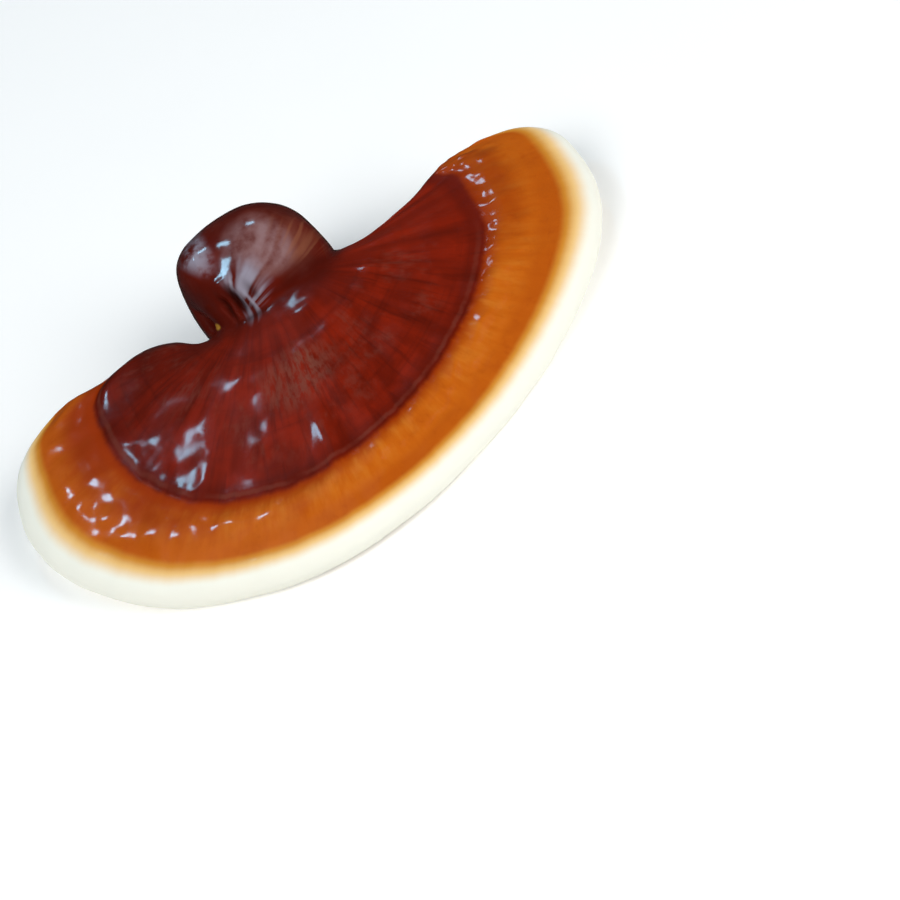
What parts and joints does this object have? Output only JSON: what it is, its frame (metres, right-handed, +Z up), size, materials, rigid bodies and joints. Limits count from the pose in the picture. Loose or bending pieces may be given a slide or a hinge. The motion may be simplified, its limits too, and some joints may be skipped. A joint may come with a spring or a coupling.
{
  "type": "reishi mushroom",
  "caption": "Fan-shaped lacquered bracket mushroom with a dark ridged centre, an orange band, a thick pale rounded lip and a short side stalk cut flat.",
  "frame": {"origin": "middle of the mushroom's footprint, on the surface that it rests on", "axes": "+X across the width of the cap, -Y towards the front lip, +Y towards the stalk, +Z up from the surface that it rests on"},
  "size_m": [0.1524, 0.0886, 0.0365],
  "materials": {
    "lacquered_crust": "glossy lacquered red-brown crust, shading through orange to a matte cream-white lip and pore surface"
  },
  "bodies": {
    "root": {"reishi_mushroom": "lacquered_crust"}
  },
  "joints": []
}
